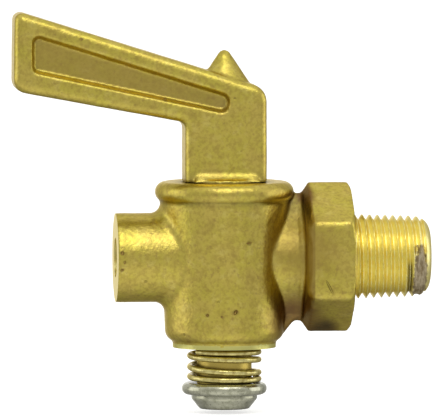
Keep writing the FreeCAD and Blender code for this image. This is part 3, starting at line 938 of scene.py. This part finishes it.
def make_plug_lever():
    """Rough casting of the handle, then its turned plug; also gives its flaws."""
    under_post = body_top_z + POST_GAP

    def under(centre, normal):
        return normal.z < -SQUARE and abs(centre.z - under_post) < CLOSE

    work = bench_copy("plug_lever", "plug_and_lever")
    edit_all(work)
    bpy.ops.mesh.bisect(
        plane_co=(0, 0, body_top_z - CAST_FROM), plane_no=(0, 0, 1),
        use_fill=False, clear_inner=True)
    end_edit()
    close_holes(work)
    edit_faces(work, under)
    bpy.ops.transform.translate(value=(0, 0, -POST_DOWN))
    end_edit()
    add_ledge(work, under_post)
    remesh(work)
    soften_where(work, "above_body", above_body, SOFTENING)
    soften_where(work, "ledge", on_ledge, LEDGE_EASE)
    uneven(work, "above_body")
    machine(work, turned_plug(), "UNION")
    return work, scar(work, LEVER_SCARS)


# Castings in their finishes

lathe_brass = turned_brass()
flaw_brass = scaled_brass()
body_brass = tumbled_brass("tumbled_body", BODY_SCARS, on_body=True)
# The lever's painted shade in hollows and crevices is lighter
lever_brass = tumbled_brass("tumbled_lever", LEVER_SCARS, grime_and_shade=0.7)
# The sunk panel's floor, painted duller and darker as shade
shaded_panel_brass = tumbled_brass("tumbled_panel", LEVER_SCARS, recess_shade=0.55)


def body_turned(centre):
    """Foot, mouth, waterway, seat and thread."""
    on_foot = centre.z < barrel_foot_z + CLOSE and from_axis(centre) < FOOT_R + CLOSE
    in_bore = from_flow(centre) < bore_r + CLOSE
    in_seat = from_axis(centre) < seat_r(centre.z) + CLOSE
    on_face = centre.x < mouth_x + CLOSE
    return on_foot or on_face or in_bore or in_seat or centre.x > NEARLY


def plug_turned(centre):
    """Plug and stem, below the casting of the handle."""
    return centre.z < body_top_z - CAST_FROM + PLUG_LAP


def in_panel(face):
    """Floor of the panel sunk in the lever."""
    level = abs(face.center.y) < PANEL_FLOOR and abs(face.normal.y) > SQUARE
    return level and face.center.z > body_top_z + PANEL_ABOVE


def pick_for_body(face, flaws):
    """Finish of one face of the body."""
    if body_turned(face.center):
        return lathe_brass
    return flaw_brass if in_scar(face.center, flaws) else body_brass


def pick_for_lever(face, flaws):
    """Finish of one face of the plug and lever."""
    if plug_turned(face.center):
        return lathe_brass
    if in_scar(face.center, flaws):
        return flaw_brass
    return shaded_panel_brass if in_panel(face) else lever_brass


def dress(work, flaws, pick, node, body):
    """Gives each face the finish picked for it, and lets the casting stand for its node."""
    finishes = work.data.materials
    finishes.clear()
    for face in work.data.polygons:
        finish = pick(face, flaws)
        if finish.name not in finishes:
            finishes.append(finish)
        face.material_index = finishes.find(finish.name)
    only(work)
    bpy.ops.object.shade_smooth_by_angle(angle=math.radians(CAST_CREASE))
    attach(work, body)
    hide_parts(node)


dress(*make_body(), pick_for_body, "body", "housing")
dress(*make_plug_lever(), pick_for_lever, "plug_lever", "key")


# Spring and its holders

def wound(turn):
    """Height of the wire's middle at a turn, evened out over the turns beside it."""
    def straight(turn):
        turn = min(max(turn, SPRING_WIND[0][0]), SPRING_WIND[-1][0])
        for (start, high), (end, low) in zip(SPRING_WIND, SPRING_WIND[1:]):
            if turn <= end:
                return high + (low - high) * (turn - start) / (end - start)
    nearby = (turn - SPRING_SPREAD, turn, turn + SPRING_SPREAD)
    return sum(straight(near) for near in nearby) / len(nearby) * MM


def wound_spring():
    """Spring as wound, its wire rolled round the path of its middle."""
    coil_r = (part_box("spring")[1].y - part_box("spring")[0].y) / 2 - WIRE_R
    first = SPRING_WIND[0][0]
    last = SPRING_WIND[-1][0]

    def place(along, around):
        turn = first + along * (last - first)
        angle = math.radians(turn)
        out = coil_r + WIRE_R * math.cos(around)
        height = wound(turn) + WIRE_R * math.sin(around)
        return (plug_x + out * math.sin(angle), -out * math.cos(angle), height)

    work = rolled(WIRE_STATIONS, WIRE_SIDES, place)
    work.name = "coil_spring"
    only(work)
    bpy.ops.object.shade_smooth_by_angle(angle=math.radians(WIRE_CREASE))
    work.data.materials.append(drawn_wire())
    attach(work, "key")
    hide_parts("spring")


wound_spring()
zinc = zinc_plate()
for node in ("washer", "retaining_screw"):
    frame["nodes"][node].data.materials.clear()
    frame["nodes"][node].data.materials.append(zinc)


# Stage

def floor():
    """Pale floor just under the part; the metal doesn't mirror it."""
    bpy.ops.mesh.primitive_plane_add(size=FLOOR_SIZE, location=(0, 0, floor_z - FLOOR_GAP))
    plane = bpy.context.object
    plane.name = "floor"
    plane.visible_glossy = False
    plane.data.materials.append(pale_floor())


def aimed(name, data, turn, rise, distance):
    """Puts a lamp or camera at a turn and a rise, in degrees, looking at the part."""
    turn = math.radians(turn)
    rise = math.radians(rise)
    level = math.cos(rise)
    away = Vector((math.sin(turn) * level, -math.cos(turn) * level, math.sin(rise)))
    stand = linked(name, data)
    stand.location = AIM + away * distance
    stand.rotation_euler = (-away).to_track_quat("-Z", "Y").to_euler()
    return stand


def lamp(name, turn, rise, width, height, light):
    """Soft box as wide, high and bright as it looks from the part."""
    data = bpy.data.lights.new(name, "AREA")
    data.shape = "RECTANGLE"
    data.size = 2 * LAMP_DISTANCE * math.tan(math.radians(width / 2))
    data.size_y = 2 * LAMP_DISTANCE * math.tan(math.radians(height / 2))
    data.energy = light * math.pi * data.size * data.size_y
    aimed(name, data, turn, rise, LAMP_DISTANCE)


def set_camera():
    """Long lens at the photograph's angle."""
    data = bpy.data.cameras.new("camera")
    data.sensor_fit = "HORIZONTAL"
    data.sensor_width = SENSOR
    data.lens = VIEW_DISTANCE * SENSOR / FRAME_WIDTH
    data.clip_end = VIEW_END
    bpy.context.scene.camera = aimed("camera", data, VIEW_TURN, VIEW_RISE, VIEW_DISTANCE)


def studio():
    """Soft light from a white tent on a white table, and soft boxes round it."""
    world = bpy.data.worlds.new("studio")
    world.use_nodes = True
    sky = Board(world.node_tree)
    across, depth, height = sky.parts(sky.node("TexCoord", out="Generated"))
    above = height.at_least(0.0)
    below = (0 - height).at_least(0.0)
    behind = depth.at_least(0.0)
    before = (0 - depth).at_least(0.0)
    band = sky.between(height, *BAND_HEIGHTS)
    level = sky.between(height, *LEVEL_HEIGHTS)
    wing = sky.step(depth, *WING_DEPTHS) * sky.step(across, *WING_ACROSS) * level
    side = sky.step(depth, *SIDE_DEPTHS) * sky.step(across, *SIDE_ACROSS) * level
    seen = sky.node("LightPath", out="Is Camera Ray")
    spread = 1 + above * ABOVE + band * BAND + below * before * TABLE - below * behind * SHADOW
    spread = spread + sky.step(depth, *BACKDROP_DEPTHS) * BACKDROP - wing * WING - side * SIDE
    light = spread * ROOM_LIGHT
    background = world.node_tree.nodes["Background"]
    background.inputs["Color"].default_value = WHITE
    sky.feed(background.inputs["Strength"], light * (1 - seen) + seen)
    bpy.context.scene.world = world
    bpy.context.scene.view_settings.view_transform = "Standard"
    for soft_box in LAMPS:
        lamp(*soft_box)


floor()
studio()
set_camera()
